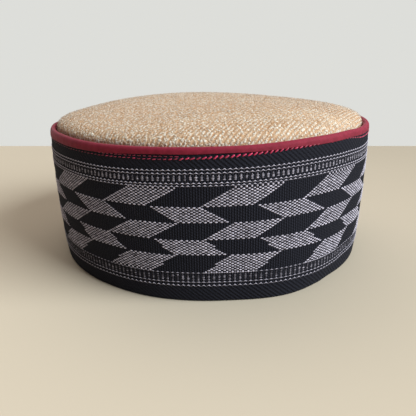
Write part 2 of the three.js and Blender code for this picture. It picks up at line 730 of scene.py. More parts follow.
def cloth_material(name: str, build: Callable[[NodeBoard], dict[str, object]]) -> bpy.types.Material:
    """Makes a material of one Principled shader.

    Args:
        name: The material's name.
        build: Adds the finish's nodes to a board and gives the shader's inputs by name.

    Returns:
        The new material.
    """
    material = bpy.data.materials.new(name)
    material.use_nodes = True
    board = NodeBoard(material.node_tree)
    shader = board.add("ShaderNodeBsdfPrincipled", {}, build(board))
    board.add("ShaderNodeOutputMaterial", {}, {"Surface": shader})
    return material


Colour = tuple[float, float, float]


@dataclass(frozen=True)
class GroundFinish:
    """The band's near-black cloth: upright ribs in the field, and a twill in the two plain edges."""

    dark: Colour = (0.003, 0.003, 0.0055)
    light: Colour = (0.026, 0.026, 0.038)
    column_width: float = 1.25
    rib_shift: float = 0.25
    pick_pitch: float = PICK_PITCH
    bead_share: float = 0.6
    twill_columns: float = 2.0
    twill_height: float = 2.2
    wear_scale: float = 0.5
    wear_gain: float = 1.2
    wear_least: float = 0.05
    field_foot: float = 8.4
    field_top: float = 68.6
    edge_softness: float = 0.2
    fibre_scale: float = 2.4
    detail: float = 3.0
    bump_depth: float = 0.0004
    fibre_bump: float = 0.5
    field_shade: float = 0.6
    edge_calm: float = 0.4
    edge_tone: float = 0.16
    fibre_tone: float = 1.6
    tone: float = 0.1
    roughness: float = 0.9
    specular: float = 0.12

    def build(self, board: NodeBoard) -> dict[str, object]:
        """Adds ribs and twill as bump, with painted shade that makes the gaps between them darker.

        Args:
            board: The board to add nodes to.

        Returns:
            The shader's inputs.
        """
        across, up, place = board.weave()
        column = across * (1 / self.column_width)
        ribs = (column + self.rib_shift).wave()
        beads = (up * (0.5 / self.pick_pitch) + column * 0.5).wave()
        field = ribs * (beads * self.bead_share + (1 - self.bead_share))
        twill = (column * (1 / self.twill_columns) + up * (1 / self.twill_height)).wave()
        worn = board.noise(place, self.wear_scale, self.detail) * self.wear_gain + self.wear_least
        soft = self.edge_softness
        edge = (up - self.field_top).step(-soft, soft) + (self.field_foot - up).step(-soft, soft)
        height = board.add("ShaderNodeMix", {}, {0: edge, 2: field, 3: twill * worn})
        fibre = board.noise(place, self.fibre_scale, self.detail)
        # The weave's height also sets the colour: painted shade that darkens the gaps between ribs and
        # twill, less of it in the edges, plus the edges' own lighter tone
        weave_shade_and_tone = height * (self.field_shade - edge * self.edge_calm) + edge * self.edge_tone
        share = weave_shade_and_tone + (fibre - 0.5) * self.fibre_tone + self.tone
        return {
            "Base Color": board.blend(share, self.dark, self.light),
            "Roughness": self.roughness,
            "Specular IOR Level": self.specular,
            "Normal": board.bump(height + fibre * self.fibre_bump, self.bump_depth),
        }


@dataclass(frozen=True)
class YarnFinish:
    """A yarn whose colour goes from a dark to a light by each float's own tint, with fine fibres."""

    name: str
    dark: Colour
    light: Colour
    roughness: float = 0.6
    specular: float = 0.35
    sheen: float = 0.1
    sheen_roughness: float = 0.45
    fibre_scale: float = 2600.0
    fibre_share: float = 0.35
    bump_depth: float = 0.0001
    bump_strength: float = 0.5

    def material(self) -> bpy.types.Material:
        """The yarn's material."""
        return cloth_material(self.name, self.build)

    def build(self, board: NodeBoard) -> dict[str, object]:
        """Adds the tint and the fibres.

        Args:
            board: The board to add nodes to.

        Returns:
            The shader's inputs.
        """
        fibre = board.noise(board.place(), self.fibre_scale)
        share = board.tint() + (fibre - 0.5) * self.fibre_share
        return {
            "Base Color": board.blend(share, self.dark, self.light),
            "Roughness": self.roughness,
            "Specular IOR Level": self.specular,
            "Sheen Weight": self.sheen,
            "Sheen Roughness": self.sheen_roughness,
            "Normal": board.bump(fibre, self.bump_depth, self.bump_strength),
        }


@dataclass(frozen=True)
class BindingFinish:
    """Burgundy bias cloth: a very fine slanting weave, with a painted highlight that makes it a little
    lighter on the ridge.
    """

    dark: Colour = (0.11, 0.004, 0.013)
    light: Colour = (0.31, 0.019, 0.047)
    weave_pitch: float = 0.55
    slant_rate: float = 1.4
    slant_height: float = 0.6
    counter_height: float = 0.3
    slub_scale: float = 0.35
    slub_detail: float = 3.0
    bump_depth: float = 0.0001
    bump_strength: float = 0.35
    weave_shade_and_tone: float = 0.3
    slub_tone: float = 0.7
    ridge: float = 3.4
    ridge_highlight: float = 0.3
    tone_drop: float = 0.17
    roughness: float = 0.7
    specular: float = 0.2
    sheen: float = 0.08
    sheen_roughness: float = 0.4
    sheen_tint: Colour = (1.0, 0.5, 0.6)

    def build(self, board: NodeBoard) -> dict[str, object]:
        """Adds the slanting weave and slow changes of colour round the edge.

        Args:
            board: The board to add nodes to.

        Returns:
            The shader's inputs.
        """
        across, up, place = board.weave()
        slant = ((across + up * self.slant_rate) * (1 / self.weave_pitch)).wave()
        counter = ((across - up * self.slant_rate) * (1 / self.weave_pitch)).wave()
        slub = board.noise(place, self.slub_scale, self.slub_detail)
        height = slant * self.slant_height + counter * self.counter_height
        # Painted highlight: lighter from the outer leg's foot up over the rounded top
        ridge = up.step(0.0, self.ridge) * self.ridge_highlight
        # The weave's height also sets the colour, as painted shade in its hollows
        share = height * self.weave_shade_and_tone + slub * self.slub_tone + ridge - self.tone_drop
        return {
            "Base Color": board.blend(share, self.dark, self.light),
            "Roughness": self.roughness,
            "Specular IOR Level": self.specular,
            "Sheen Weight": self.sheen,
            "Sheen Roughness": self.sheen_roughness,
            "Sheen Tint": self.sheen_tint,
            "Normal": board.bump(height + slub, self.bump_depth, self.bump_strength),
        }


@dataclass(frozen=True)
class WoolFinish:
    """The wool's ground between its floats: ochre and brown, with a slanting twill."""

    dark: Colour = (0.44, 0.22, 0.105)
    light: Colour = (0.65, 0.51, 0.37)
    rib_pitch: float = RIB_PITCH
    rib_deg: float = RIB_DEG
    rib_height: float = 0.6
    rib_tone: float = 0.35
    fleck_scale: float = 1.1
    fleck_detail: float = 4.0
    fleck_tone: float = 1.4
    mottle_scale: float = 0.12
    mottle_tone: float = 0.5
    bump_depth: float = 0.0004
    bump_strength: float = 0.8
    roughness: float = 0.95
    specular: float = 0.05

    def build(self, board: NodeBoard) -> dict[str, object]:
        """Adds the twill and the wool's mixed colours.

        Args:
            board: The board to add nodes to.

        Returns:
            The shader's inputs.
        """
        across, up, place = board.weave()
        turn = math.radians(self.rib_deg)
        rib = ((up * math.cos(turn) - across * math.sin(turn)) * (1 / self.rib_pitch)).wave()
        flecks = board.noise(place, self.fleck_scale, self.fleck_detail)
        mottle = board.noise(place, self.mottle_scale)
        height = rib * self.rib_height + flecks
        share = rib * self.rib_tone + (flecks - 0.5) * self.fleck_tone + mottle * self.mottle_tone
        return {
            "Base Color": board.blend(share, self.dark, self.light),
            "Roughness": self.roughness,
            "Specular IOR Level": self.specular,
            "Normal": board.bump(height, self.bump_depth, self.bump_strength),
        }


# The woven band

@dataclass(frozen=True)
class CheckPattern:
    """The zigzag check, counted in columns round the band and picks down it."""

    columns: int = 480
    cell_columns: int = 20
    row_picks: tuple[int, ...] = (13, 11, 12, 11, 13)
    side_middle: float = 3.0
    side_slope: float = 0.92

    def lean(self, row: int) -> Lean:
        """Rows lean one way and the other in turn."""
        return Lean.BACKSLASH if row % 2 else Lean.SLASH

    def floats(self, row: int) -> tuple[np.ndarray, np.ndarray]:
        """The grey floats of one row of cells.

        A cell's side travels nearly a column for each pick, and passes one fixed column half way down the
        row. Cells are grey in turn, and a grey cell has a float wherever column and pick are together even.

        Args:
            row: The row of cells, from 0 at the top.

        Returns:
            Each float's column, and its pick counted from the top of the whole check.
        """
        picks = self.row_picks[row]
        pick, column = np.meshgrid(np.arange(picks), np.arange(self.columns), indexing="ij")
        side = self.side_middle + self.lean(row).value * self.side_slope * (pick + 0.5 - picks / 2)
        cell = np.floor((column - side) / self.cell_columns)
        whole_pick = pick + sum(self.row_picks[:row])
        grey = ((cell + row) % 2 == 0) & ((column + whole_pick) % 2 == 0)
        return column[grey], whole_pick[grey]


@dataclass(frozen=True)
class BorderLine:
    """A wavy grey thread round the band: its height, how far it waves, and which columns it crests on."""

    name: str
    height: float
    wave: float
    crest_column: int
    thickness: float = 0.46
    tint: float = 0.5
    contrast: float = 0.42


@dataclass(frozen=True)
class Ladder:
    """A row of upright dashes, each of a few short floats one above another."""

    name: str
    top: float
    foot: float
    picks: int
    crest_column: int
    top_share: float = 1.0
    tint: float = 0.4


@dataclass
class WovenBand:
    """The stiff brocade band with its pattern of raised grey floats."""

    form: CapForm
    grey: YarnFinish = YarnFinish(
        "grey_yarn", dark=(0.044, 0.039, 0.049), light=(0.66, 0.602, 0.705), specular=0.18, sheen=0.0
    )
    thickness: float = 2.4
    hem_thickness: float = 1.6
    fold_radius: float = 1.2
    head_inset: float = 4.9
    step_height: float = 74.4
    pressed_top: float = 76.9
    pressed_inset: float = 1.0
    pressed_thickness: float = 1.0
    check: CheckPattern = field(default_factory=CheckPattern)
    check_top: float = 59.7
    check_drift: float = 0.35
    pick_pitch: float = PICK_PITCH
    float_length: float = 1.7
    float_width: float = 0.80
    float_height: float = 0.34
    float_sunk: float = 0.06
    float_tint: float = 0.78
    # Painted shade that darkens each float towards its foot
    float_rim_shade: float = 0.5
    float_jitter: Jitter = Jitter(across=0.04, up=0.025, length=0.05, width=0.05, height=0.08, tint=0.14)
    float_lean_sd: float = 0.05
    outermost_shift: float = 0.25
    outermost_length: float = 0.72
    outermost_width: float = 1.7
    dash_length: float = 0.78
    dash_width: float = 0.44
    dash_height: float = 0.28
    dash_sides: int = 6
    # Painted shade that darkens each dash towards its foot
    dash_rim_shade: float = 0.35
    dash_top_shade: float = 0.15
    dash_jitter: Jitter = Jitter(across=0.05, up=0.03, length=0.07, height=0.1, tint=0.16)
    dash_lean_sd: float = 0.08
    wander: tuple[tuple[int, float, float], ...] = ((2, 0.45, 0.1), (5, 0.16, 1.3), (9, 0.08, 2.2))
    steps_around: int = 480
    steps_up: int = 30
    fold_steps: int = 6
    thread_steps: int = 6
    thread_sides: int = 5
    thread_proud: float = 0.10
    thread_dip: float = 0.10
    thread_least: float = 0.84
    thread_swell: float = 0.2
    thread_flatness: float = 0.85
    seed: int = 11
    ladder_seed: int = 20
    lines: tuple[BorderLine, ...] = (
        BorderLine("line_1", 67.8, 0.30, 0, 0.46, 0.5, 0.3),
        BorderLine("line_2", 66.2, 0.28, 0, 0.46, 0.5, 0.3),
        BorderLine("line_3", 61.5, 0.28, 1),
        BorderLine("line_4", 60.25, 0.28, 1, 0.5, 0.35),
        BorderLine("line_5", 16.25, 0.14, 0, 0.45, 0.15),
        BorderLine("line_6", 11.1, 0.22, 0, 0.48, 0.33, 0.28),
        BorderLine("line_7", 9.1, 0.42, 0, 0.5, 0.38, 0.32),
    )
    ladders: tuple[Ladder, ...] = (
        Ladder("ladder_upper", 65.4, 62.7, 4, 0, 0.6, 0.5),
        Ladder("ladder_lower", 15.4, 12.1, 5, 0, 0.9, 0.22),
    )

    @property
    def column_width(self) -> float:
        """Width of a column on the foot's circle."""
        return TURN * self.form.base_radius / self.check.columns

    def drift(self, across: np.ndarray) -> np.ndarray:
        """How far the woven lines wander up and down: a few slow waves of the angle.

        Args:
            across: Lengths round the band.

        Returns:
            Shifts in height.
        """
        angle = across / self.form.base_radius
        return sum(size * np.sin(waves * angle + start) for waves, size, start in self.wander)

    def build(self) -> None:
        """Makes the cloth, the floats, the lines and the ladders, and dresses them."""
        ground = cloth_material("brocade_ground", GroundFinish().build)
        yarn = self.grey.material()
        dress(self.cloth(), ground, Slot.BROCADE, "brocade_band")
        for row in range(len(self.check.row_picks)):
            dress(self.check_row(row), yarn, Slot.BROCADE)
        for line in self.lines:
            dress(self.thread(line), yarn, Slot.BROCADE)
        for ladder in self.ladders:
            dress(self.ladder(ladder), yarn, Slot.BROCADE)

    def cloth(self) -> bpy.types.Object:
        """The band's wall: up its outer face, over the pressed edge, down inside, and in along the hem.

        Returns:
            The closed wall.
        """
        form = self.form
        fold_centre = form.base_radius - self.fold_radius
        fold = arc(fold_centre, self.fold_radius, self.fold_radius, -90, 0, self.fold_steps)
        wall = np.linspace(self.fold_radius, self.step_height, self.steps_up + 1)[1:]
        top_radius = form.band_radius(self.step_height) - self.pressed_inset
        half = self.pressed_thickness / 2
        edge = arc(top_radius - half, self.pressed_top - half, half, 0, 180, self.fold_steps)
        inside = np.linspace(self.step_height, self.hem_thickness, self.steps_up + 1)
        radius = np.concatenate([
            fold[0],
            form.band_radius(wall),
            edge[0],
            form.band_radius(inside) - self.thickness,
            [form.base_radius - self.head_inset] * 2,
        ])
        height = np.concatenate([fold[1], wall, edge[1], inside, [self.hem_thickness, 0.0]])

        def weave(share: np.ndarray, row: np.ndarray) -> np.ndarray:
            """Length round the band and height, in millimetres."""
            across = share * self.check.columns * self.column_width
            return np.stack([across, np.append(height, height[0])[row]], axis=-1)

        return turned_piece("band_cloth", radius, height, self.steps_around, form.point, weave)

    def check_row(self, row: int) -> bpy.types.Object:
        """One row of cells: oval floats on the weave's lattice, with the outermost picks taller.

        Args:
            row: The row of cells, from 0 at the top.

        Returns:
            The joined floats.
        """
        chance = np.random.default_rng(self.seed + row)
        jitter = self.float_jitter
        column, pick = self.check.floats(row)
        count = len(column)
        last_pick = sum(self.check.row_picks) - 1
        outermost = (pick == 0) | (pick == last_pick)
        outward = np.where(pick == 0, 1.0, -1.0) * outermost * self.outermost_shift
        shorter = np.where(outermost, self.outermost_length, 1)
        taller = np.where(outermost, self.outermost_width, 1)
        across = column * self.column_width + chance.normal(0, jitter.across, count)
        level = self.check_top - (pick + 0.5) * self.pick_pitch + outward
        up = level + chance.normal(0, jitter.up, count)
        return Scatter(
            across=across,
            up=up + self.drift(across) * self.check_drift,
            proud=np.full(count, -self.float_sunk),
            length=self.float_length / 2 * chance.normal(1, jitter.length, count) * shorter,
            width=self.float_width / 2 * chance.normal(1, jitter.width, count) * taller,
            height=self.float_height * chance.normal(1, jitter.height, count),
            lean=chance.normal(0, self.float_lean_sd, count),
            tint=chance.normal(self.float_tint, jitter.tint, count),
            rim_shade=self.float_rim_shade,
        ).build(f"check_floats_{row + 1}", Seed.oval(), self.form.on_band)

    def thread(self, line: BorderLine) -> bpy.types.Object:
        """A thread carried round the band: an oval section along a cosine wave, which dips between crests.

        Args:
            line: Which line.

        Returns:
            The closed tube.
        """
        columns = self.check.columns
        count = columns // 2 * self.thread_steps
        across = np.arange(count) * columns * self.column_width / count
        phase = (across / self.column_width - line.crest_column) * math.pi
        middle = line.height + line.wave * np.cos(phase) + self.drift(across)
        out = self.thread_proud + self.thread_dip * np.cos(phase)
        section = np.arange(self.thread_sides) * TURN / self.thread_sides + math.pi / 2
        half = line.thickness / 2 * (self.thread_least + self.thread_swell * np.cos(phase))
        up = middle[None, :] + half[None, :] * np.cos(section)[:, None]
        proud = out[None, :] - half[None, :] * self.thread_flatness * np.sin(section)[:, None]
        points = self.form.on_band(across[None, :], up, proud)
        faces, corners = grid_faces(self.thread_sides, count, True)
        bake = np.stack([corners[..., 1] / count, corners[..., 0] / self.thread_sides], axis=-1)
        tints = np.broadcast_to(line.tint + line.contrast * np.cos(phase), up.shape)
        return make_object(line.name, points.reshape(-1, 3), faces, {BAKE_MAP: bake}, tints.ravel())

    def ladder(self, ladder: Ladder) -> bpy.types.Object:
        """Dashes on every second column, each a stack of short floats that are dimmer towards the top.

        Args:
            ladder: Which ladder.

        Returns:
            The joined floats.
        """
        chance = np.random.default_rng(self.seed + ladder.picks + self.ladder_seed)
        jitter = self.dash_jitter
        columns = np.arange(0, self.check.columns, 2)
        column, pick = np.meshgrid(columns, np.arange(ladder.picks), indexing="ij")
        column = column.ravel() + ladder.crest_column
        pick = pick.ravel()
        count = len(column)
        pitch = (ladder.top - ladder.foot) / ladder.picks
        across = column * self.column_width + chance.normal(0, jitter.across, count)
        level = ladder.top - (pick + 0.5) * pitch + self.drift(across)
        top = pick == 0
        shorter = np.where(top, ladder.top_share, 1)
        return Scatter(
            across=across,
            up=level + chance.normal(0, jitter.up, count),
            proud=np.full(count, -self.float_sunk),
            length=self.dash_length * chance.normal(1, jitter.length, count) * shorter,
            width=pitch * self.dash_width * np.ones(count),
            height=self.dash_height * chance.normal(1, jitter.height, count),
            lean=chance.normal(0, self.dash_lean_sd, count),
            tint=chance.normal(ladder.tint, jitter.tint, count) - self.dash_top_shade * top,
            rim_shade=self.dash_rim_shade,
        ).build(ladder.name, Seed.oval(self.dash_sides), self.form.on_band)


# The binding and its stitches

@dataclass
class EdgeBinding:
    """The bias cloth folded over the band's edge, and the red stitches that hold it."""

    form: CapForm
    red: YarnFinish = YarnFinish(
        "red_thread", dark=(0.17, 0.003, 0.022), light=(0.72, 0.03, 0.12), roughness=0.45, specular=0.5
    )
    foot: float = 75.2
    top: float = 78.2
    outer_radius: float = 98.1
    width: float = 3.6
    cloth_thickness: float = 1.0
    pull: float = 0.07
    fall: float = 1.35
    fall_stretch: Stretch = Stretch(-110, -75, -44, -11)
    right_fall: float = 0.4
    right_stretch: Stretch = Stretch(24, 34, 80, 110)
    foot_waves: tuple[tuple[int, float, float], ...] = ((7, 0.10, 0.6), (17, 0.06, 0.0))
    stitch_height: float = 72.9
    stitch_climb: float = 1.95
    climb_stretch: Stretch = Stretch(-14, 26, 42, 60, drop=0.75)
    stitches: int = 240
    stitch_length: float = 2.35
    stitch_thickness: float = 0.85
    stitch_lean_deg: float = 32.0
    stitch_proud: float = 0.18
    stitch_tint: float = 0.15
    stitch_jitter: Jitter = Jitter(across=0.08, up=0.05, length=0.06, width=0.07, tint=0.15)
    stitch_lean_share: float = 0.15
    left_thinning: float = 0.78
    left_thin: Stretch = Stretch(-110, -80, -20, 6)
    right_thinning: float = 0.6
    right_thin: Stretch = Stretch(18, 34, 100, 130)
    thin_length: float = 0.6
    thin_width: float = 0.4
    full_tint: float = 0.4
    fallen_sink: float = 0.5
    hidden_sink: float = 0.42
    hidden_stretch: Stretch = Stretch(27, 37, 44, 56, drop=0.55)
    hidden_end: tuple[float, float] = (100.0, 130.0)
    hidden_end_drop: float = 0.45
    return_height: float = 74.15
    return_middle_deg: float = -20.0
    return_reach_deg: float = 12.0
    return_proud: float = 0.1
    return_length: float = 0.36
    return_width: float = 0.22
    return_thickness: float = 0.25
    return_lean_deg: float = 4.0
    return_tint: float = 0.2
    return_jitter: Jitter = Jitter(across=0.1, up=0.04, length=0.1, tint=0.12)
    return_lean_sd_deg: float = 4.0
    steps_around: int = 480
    over_steps: int = 16
    under_steps: int = 8
    leg_points: int = 5
    seed: int = 31

    def build(self) -> None:
        """Makes the binding and its stitches, and dresses them."""
        cloth = cloth_material("binding_cloth", BindingFinish().build)
        red = self.red.material()
        dress(self.cloth(), cloth, Slot.BINDING, "edge_binding")
        dress(self.stitching(), red, Slot.BINDING)
        dress(self.return_stitching(), red, Slot.BINDING)

    def fallen(self, angle: np.ndarray) -> np.ndarray:
        """How far the binding has slipped down over its stitches on the front left, from 0 to 1."""
        return self.fall_stretch.share(degrees_of(angle))

    def place(self, radius: np.ndarray, height: np.ndarray, angle: np.ndarray) -> np.ndarray:
        """Puts the binding on the cap, drawn in a little at each stitch and deeper on the right.

        Args:
            radius: Distances from the axis.
            height: Heights above the floor.
            angle: Angles from the front towards +X.

        Returns:
            Places on the cap.
        """
        low = np.clip((self.top - height) / (self.top - self.foot), 0, 1)
        drawn = self.pull * low * np.cos(self.stitches / 2 * angle)
        deeper = self.right_fall * self.right_stretch.share(degrees_of(angle))
        wavy = sum(size * np.sin(waves * angle + start) for waves, size, start in self.foot_waves)
        shift = wavy - self.fall * self.fallen(angle) - deeper
        return self.form.point(radius + drawn, height + shift * low, angle)

    def cloth(self) -> bpy.types.Object:
        """A folded strip: up the outer leg, over a round top and down the inner leg, then back inside it.

        Returns:
            The closed strip.
        """
        half = self.width / 2
        middle = self.outer_radius - half
        shift = float(self.form.band_radius(self.top) - self.form.band_radius(self.foot))
        inner_half = half - self.cloth_thickness
        over = arc(middle, self.top - half, half, 0, 180, self.over_steps)
        under = arc(middle, self.top - half, inner_half, 180, 0, self.under_steps)
        leg = np.linspace(self.foot, self.top - half, self.leg_points)[:-1]
        slide = shift * (1 - (leg - self.foot) / (self.top - half - self.foot))
        down = leg[::-1]
        radius = np.concatenate([
            middle + half - slide,
            over[0],
            middle - half - slide[::-1],
            middle - inner_half - slide,
            under[0],
            middle + inner_half - slide[::-1],
        ])
        height = np.concatenate([leg, over[1], down, leg, under[1], down])
        steps = np.hypot(np.diff(radius), np.diff(height))
        along = np.append(0, np.cumsum(steps))

        def weave(share: np.ndarray, row: np.ndarray) -> np.ndarray:
            """Length round the edge and length over it, in millimetres."""
            over_edge = np.append(along, along[-1] + 1)[row]
            return np.stack([share * TURN * self.outer_radius, over_edge], axis=-1)

        return turned_piece("binding_cloth", radius, height, self.steps_around, self.place, weave)

    def stitching(self) -> bpy.types.Object:
        """Slanting stitches in a row under the binding.

        The row climbs to the binding's foot on the front right, sinks into the cloth there and drops again.
        The stitches are thin and flat on the front left, where the binding has slipped.

        Returns:
            The joined stitches.
        """
        chance = np.random.default_rng(self.seed)
        jitter = self.stitch_jitter
        count = self.stitches
        angle = (np.arange(count) + 0.5) * TURN / count - math.pi
        degrees = degrees_of(angle)
        climb = self.stitch_climb * self.climb_stretch.share(degrees)
        full = 1 - self.left_thinning * self.left_thin.share(degrees)
        full = full - self.right_thinning * self.right_thin.share(degrees)
        hidden = self.hidden_stretch.share(degrees) - self.hidden_end_drop * eased(degrees, *self.hidden_end)
        longer = self.thin_length + (1 - self.thin_length) * full
        wider = self.thin_width + (1 - self.thin_width) * full
        return Scatter(
            across=angle * self.form.base_radius + chance.normal(0, jitter.across, count),
            up=self.stitch_height + climb + chance.normal(0, jitter.up, count),
            proud=self.stitch_proud - self.fallen_sink * self.fallen(angle) - self.hidden_sink * hidden,
            length=self.stitch_length / 2 * chance.normal(1, jitter.length, count) * longer,
            width=self.stitch_thickness / 2 * chance.normal(1, jitter.width, count) * wider,
            height=np.full(count, self.stitch_thickness / 2),
            lean=np.radians(self.stitch_lean_deg * full) * chance.normal(1, self.stitch_lean_share, count),
            tint=chance.normal(self.stitch_tint, jitter.tint, count) + self.full_tint * full,
        ).build("stitches", Seed.capsule(), self.form.on_band)

    def return_stitching(self) -> bpy.types.Object:
        """A short run of thin dashes between the binding and its stitches, where the thread doubles back.

        Returns:
            The joined dashes.
        """
        chance = np.random.default_rng(self.seed + 1)
        jitter = self.return_jitter
        middle = math.radians(self.return_middle_deg)
        half = math.radians(self.return_reach_deg)
        angle = np.arange(middle - half, middle + half, TURN / self.stitches)
        count = len(angle)
        return Scatter(
            across=angle * self.form.base_radius + chance.normal(0, jitter.across, count),
            up=self.return_height + chance.normal(0, jitter.up, count),
            proud=np.full(count, self.return_proud),
            length=self.stitch_length * self.return_length * chance.normal(1, jitter.length, count),
            width=self.stitch_thickness * self.return_width * np.ones(count),
            height=self.stitch_thickness * self.return_thickness * np.ones(count),
            lean=np.radians(chance.normal(self.return_lean_deg, self.return_lean_sd_deg, count)),
            tint=chance.normal(self.return_tint, jitter.tint, count),
        ).build("return_stitches", Seed.capsule(), self.form.on_band)


# The wool

@dataclass
class WoolCap:
    """The wool crown with its twill floats and fuzz, and the wool side wall that stands inside the band."""

    form: CapForm
    yarn: YarnFinish = YarnFinish(
        "wool_yarn",
        dark=(0.47, 0.275, 0.145),
        light=(0.70, 0.64, 0.56),
        roughness=0.95,
        specular=0.0,
        sheen=0.0,
        fibre_scale=1100.0,
        fibre_share=2.0,
    )
    hair: YarnFinish = YarnFinish(
        "wool_fuzz",
        dark=(0.44, 0.235, 0.125),
        light=(0.78, 0.72, 0.64),
        roughness=0.95,
        specular=0.05,
        sheen=0.0,
    )
    side_inset: float = 2.7
    side_foot: float = 1.9
    side_top: float = 71.4
    side_levels: int = 13
    rib_pitch: float = RIB_PITCH
    rib_deg: float = RIB_DEG
    rib_stagger: int = 3
    rib_looseness: float = 0.6
    rib_tightening: float = 0.38
    tightens_between: tuple[float, float] = (-50.0, 40.0)
    sway: float = 0.5
    sway_length: float = 11.0
    sway_ribs: float = 7.0
    float_pitch: float = 1.4
    float_length: float = 2.1
    float_width: float = 1.3
    float_height: float = 0.13
    float_sunk: float = 0.04
    float_twist_deg: float = 13.0
    float_edge: float = 2.6
    float_sides: int = 5
    float_tint: float = 0.75
    # Painted shade that darkens each float towards its foot
    float_rim_shade: float = 0.15
    float_along_sd: float = 0.33
    float_jitter: Jitter = Jitter(proud=0.03, length=0.2, width=0.15, height=0.2, tint=0.22)
    float_lean_sd_deg: float = 30.0
    brown_share: float = 0.10
    brown_shade: float = 0.45
    hairs: int = 28000
    hair_length: float = 1.5
    hair_length_shares: tuple[float, float] = (0.4, 1.2)
    hair_radius: float = 0.055
    hair_overhang: float = 1.2
    hair_root: float = 0.15
    hair_rises: tuple[float, float] = (0.05, 0.6)
    steps_around: int = 240
    steps_over: int = 60
    seed: int = 53

    def build(self) -> None:
        """Makes the crown, its floats, its fuzz and the side wall, and dresses them."""
        wool = cloth_material("wool_ground", WoolFinish().build)
        yarn = self.yarn.material()
        fuzz = self.hair.material()
        dress(self.crown(), wool, Slot.WOOL, "crown_top")
        dress(self.floats(), yarn, Slot.WOOL)
        dress(self.fuzz(), fuzz, Slot.WOOL)
        dress(self.side(), wool, Slot.WOOL, "crown_side")

    def crown(self) -> bpy.types.Object:
        """The crown's cloth: its outer face from the middle to the tuck's foot, and back inside it.

        Returns:
            The closed crown.
        """
        form = self.form
        radius, height, length = form.crown_profile()
        reach = length[-1]
        even = np.append(np.linspace(0, length[-2], self.steps_over), reach)
        thick = form.wool_thickness
        inner_scale = (form.crown_radius - thick) / form.crown_radius
        outer_radius = np.interp(even, length, radius)
        outer_height = np.interp(even, length, height)
        rise_scale = (form.crown_rise - thick) / form.crown_rise
        inner_radius = outer_radius * inner_scale
        inner_height = form.crown_edge + (outer_height - form.crown_edge) * rise_scale
        inner_radius[-1] = outer_radius[-1] - thick
        inner_height[-1] = outer_height[-1]
        all_radius = np.concatenate([outer_radius[::-1], inner_radius])
        all_height = np.concatenate([outer_height[::-1], inner_height])
        along = np.concatenate([even[::-1], even])

        def place(ring: np.ndarray, level: np.ndarray, angle: np.ndarray) -> np.ndarray:
            """Puts the crown's points on the cap with its swells.

            Args:
                ring: Distances from the axis.
                level: Heights above the floor.
                angle: Angles from the front towards +X.

            Returns:
                Places on the cap.
            """
            points = form.point(ring, level, angle)
            points[..., 2] += form.swell(np.broadcast_to(ring, points.shape[:2]), angle)
            return points

        def weave(share: np.ndarray, row: np.ndarray) -> np.ndarray:
            """The flat cloth's own two lengths from the crown's middle, in millimetres."""
            angle = share * TURN - math.pi
            return np.stack([along[row] * np.sin(angle), -along[row] * np.cos(angle)], axis=-1)

        steps = self.steps_around
        piece = turned_piece("crown_cloth", all_radius, all_height, steps, place, weave, closed=False)
        merge_doubles(piece)
        return piece

    def floats(self) -> bpy.types.Object:
        """Short slanting floats along the twill's ribs, which are clear on the right and felted on the left.

        Returns:
            The joined floats.
        """
        chance = np.random.default_rng(self.seed)
        jitter = self.float_jitter
        _, _, length = self.form.crown_profile()
        reach = length[-2] + self.float_edge
        ribs = np.arange(-int(reach / self.rib_pitch), int(reach / self.rib_pitch) + 1)
        places = np.arange(-int(reach / self.float_pitch), int(reach / self.float_pitch) + 1)
        rib, number = (grid.ravel() for grid in np.meshgrid(ribs, places, indexing="ij"))
        along = number * self.float_pitch + (rib % self.rib_stagger) * self.float_pitch / self.rib_stagger
        along = along + chance.normal(0, self.float_along_sd, len(along))
        turn = math.radians(self.rib_deg)
        to_right = along * math.cos(turn) - rib * self.rib_pitch * math.sin(turn)
        loose = self.rib_looseness - self.rib_tightening * eased(to_right, *self.tightens_between)
        sway = self.sway * np.sin(along / self.sway_length + rib / self.sway_ribs)
        beside = rib * self.rib_pitch + loose * chance.normal(0, 1, len(rib)) + sway
        across = along * math.cos(turn) - beside * math.sin(turn)
        up = along * math.sin(turn) + beside * math.cos(turn)
        inside = np.hypot(across, up) < reach
        across = across[inside]
        up = up[inside]
        count = len(across)
        tint = chance.normal(self.float_tint, jitter.tint, count)
        tint = np.where(chance.random(count) < self.brown_share, tint - self.brown_shade, tint)
        return Scatter(
            across=across,
            up=up,
            proud=chance.normal(-self.float_sunk, jitter.proud, count),
            length=self.float_length / 2 * chance.normal(1, jitter.length, count),
            width=self.float_width / 2 * chance.normal(1, jitter.width, count),
            height=self.float_height * chance.normal(1, jitter.height, count),
            lean=turn + np.radians(chance.normal(self.float_twist_deg, self.float_lean_sd_deg, count)),
            tint=tint,
            rim_shade=self.float_rim_shade,
        ).build("crown_floats", Seed.oval(self.float_sides), self.form.on_crown)

    def fuzz(self) -> bpy.types.Object:
        """Short fine hairs that stand off the crown in every direction.

        Returns:
            The joined hairs.
        """
        chance = np.random.default_rng(self.seed + 1)
        _, _, length = self.form.crown_profile()
        distance = (length[-2] + self.hair_overhang) * np.sqrt(chance.random(self.hairs))
        angle = chance.random(self.hairs) * TURN
        count = self.hairs
        hair_length = self.hair_length * chance.uniform(*self.hair_length_shares, count)
        return Scatter(
            across=distance * np.sin(angle),
            up=distance * np.cos(angle),
            proud=np.full(count, self.hair_root),
            length=hair_length,
            width=np.full(count, self.hair_radius),
            height=np.full(count, self.hair_radius),
            lean=chance.random(count) * TURN,
            tint=chance.random(count),
            rise=chance.uniform(*self.hair_rises, count),
        ).build("crown_fuzz", Seed.needle(), self.form.on_crown)

    def side(self) -> bpy.types.Object:
        """The plain wool wall inside the band, up its outer face and down its inner one.

        Returns:
            The closed wall.
        """
        level = np.linspace(self.side_foot, self.side_top, self.side_levels)
        outer = self.form.band_radius(level) - self.side_inset
        inner = outer - self.form.wool_thickness
        radius = np.concatenate([outer, inner[::-1]])
        height = np.concatenate([level, level[::-1]])

